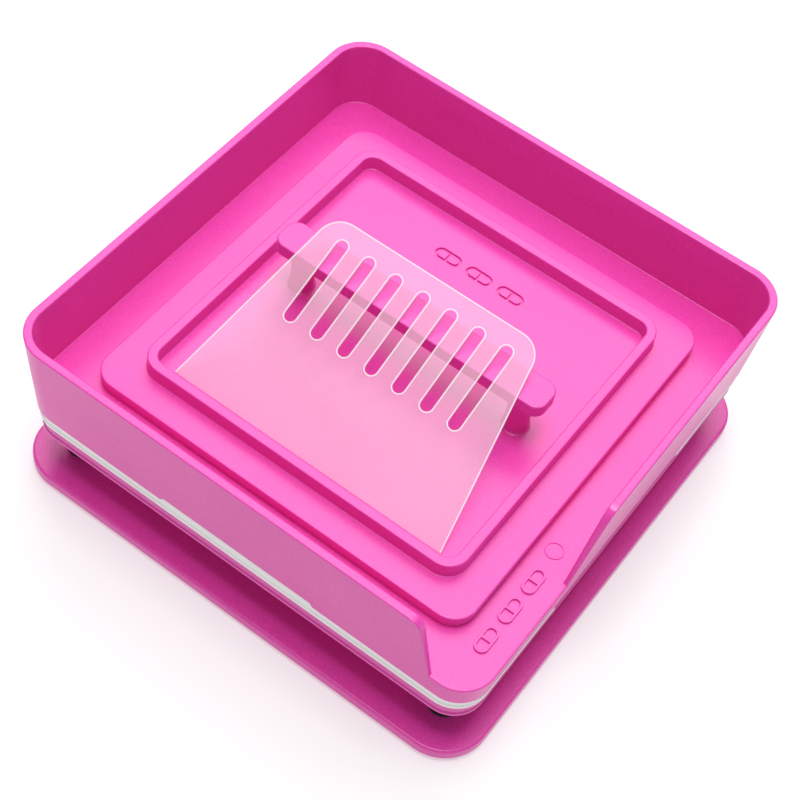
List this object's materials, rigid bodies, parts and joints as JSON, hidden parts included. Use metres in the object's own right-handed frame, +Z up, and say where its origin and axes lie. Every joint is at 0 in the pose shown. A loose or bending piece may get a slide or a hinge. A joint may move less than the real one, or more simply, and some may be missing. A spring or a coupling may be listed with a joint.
{
  "type": "capsule filler",
  "caption": "Hand capsule filler: square tray with a pouring corner over a cap plate, middle plate and sprung body plate, with a pinned tamper and a slotted spreader card.",
  "frame": {"origin": "centre of the base's square footprint, on the plane that the feet stand on", "axes": "+Z up; -Y is the front, along which the handle bar runs (X); the pouring gap is at the corner towards +X and -Y"},
  "size_m": [0.17, 0.17, 0.073],
  "materials": {
    "pink_plastic": "satin",
    "white_plastic": "satin",
    "frosted_plastic": "frosted",
    "steel": "turned",
    "spring_wire": "black oxide",
    "rubber": "matte"
  },
  "bodies": {
    "base": {"base_plate": "pink_plastic", "foot_front_left": "rubber", "foot_front_right": "rubber", "foot_rear_left": "rubber", "foot_rear_right": "rubber", "guide_post_front_left": "steel", "guide_post_front_right": "steel", "guide_post_rear_left": "steel", "guide_post_rear_right": "steel", "spring_front_left": "spring_wire", "spring_front_right": "spring_wire", "spring_rear_left": "spring_wire", "spring_rear_right": "spring_wire", "post_screws": "steel"},
    "body_unit": {"body_plate": "pink_plastic", "locating_pins": "steel"},
    "middle": {"middle_plate": "white_plastic"},
    "cap": {"cap_plate": "pink_plastic"},
    "tray": {"arranging_tray": "pink_plastic"},
    "tamper": {"tamper_plate": "pink_plastic", "pin_plate": "pink_plastic", "pin_plate_screws": "steel", "handle": "pink_plastic", "handle_screws": "steel"},
    "card": {"spreader_card": "frosted_plastic"}
  },
  "joints": [
    {"name": "body_press", "type": "slide", "parent": "base", "child": "body_unit", "axis": [0, 0, 1], "range_m": [-0.008, 0], "stiffness_N_per_m": 2900, "springref_m": 0.006, "deforming": ["spring_front_left", "spring_front_right", "spring_rear_left", "spring_rear_right"]},
    {"name": "middle_lift", "type": "slide", "parent": "body_unit", "child": "middle", "axis": [0, 0, 1], "range_m": [0, 0.06]},
    {"name": "cap_lift", "type": "slide", "parent": "middle", "child": "cap", "axis": [0, 0, 1], "range_m": [0, 0.06]},
    {"name": "tray_lift", "type": "slide", "parent": "cap", "child": "tray", "axis": [0, 0, 1], "range_m": [0, 0.08]},
    {"name": "tamper_lift", "type": "slide", "parent": "tray", "child": "tamper", "axis": [0, 0, 1], "range_m": [0, 0.06]},
    {"name": "card_lift", "type": "slide", "parent": "tamper", "child": "card", "axis": [0, 0, 1], "range_m": [0, 0.06]}
  ]
}
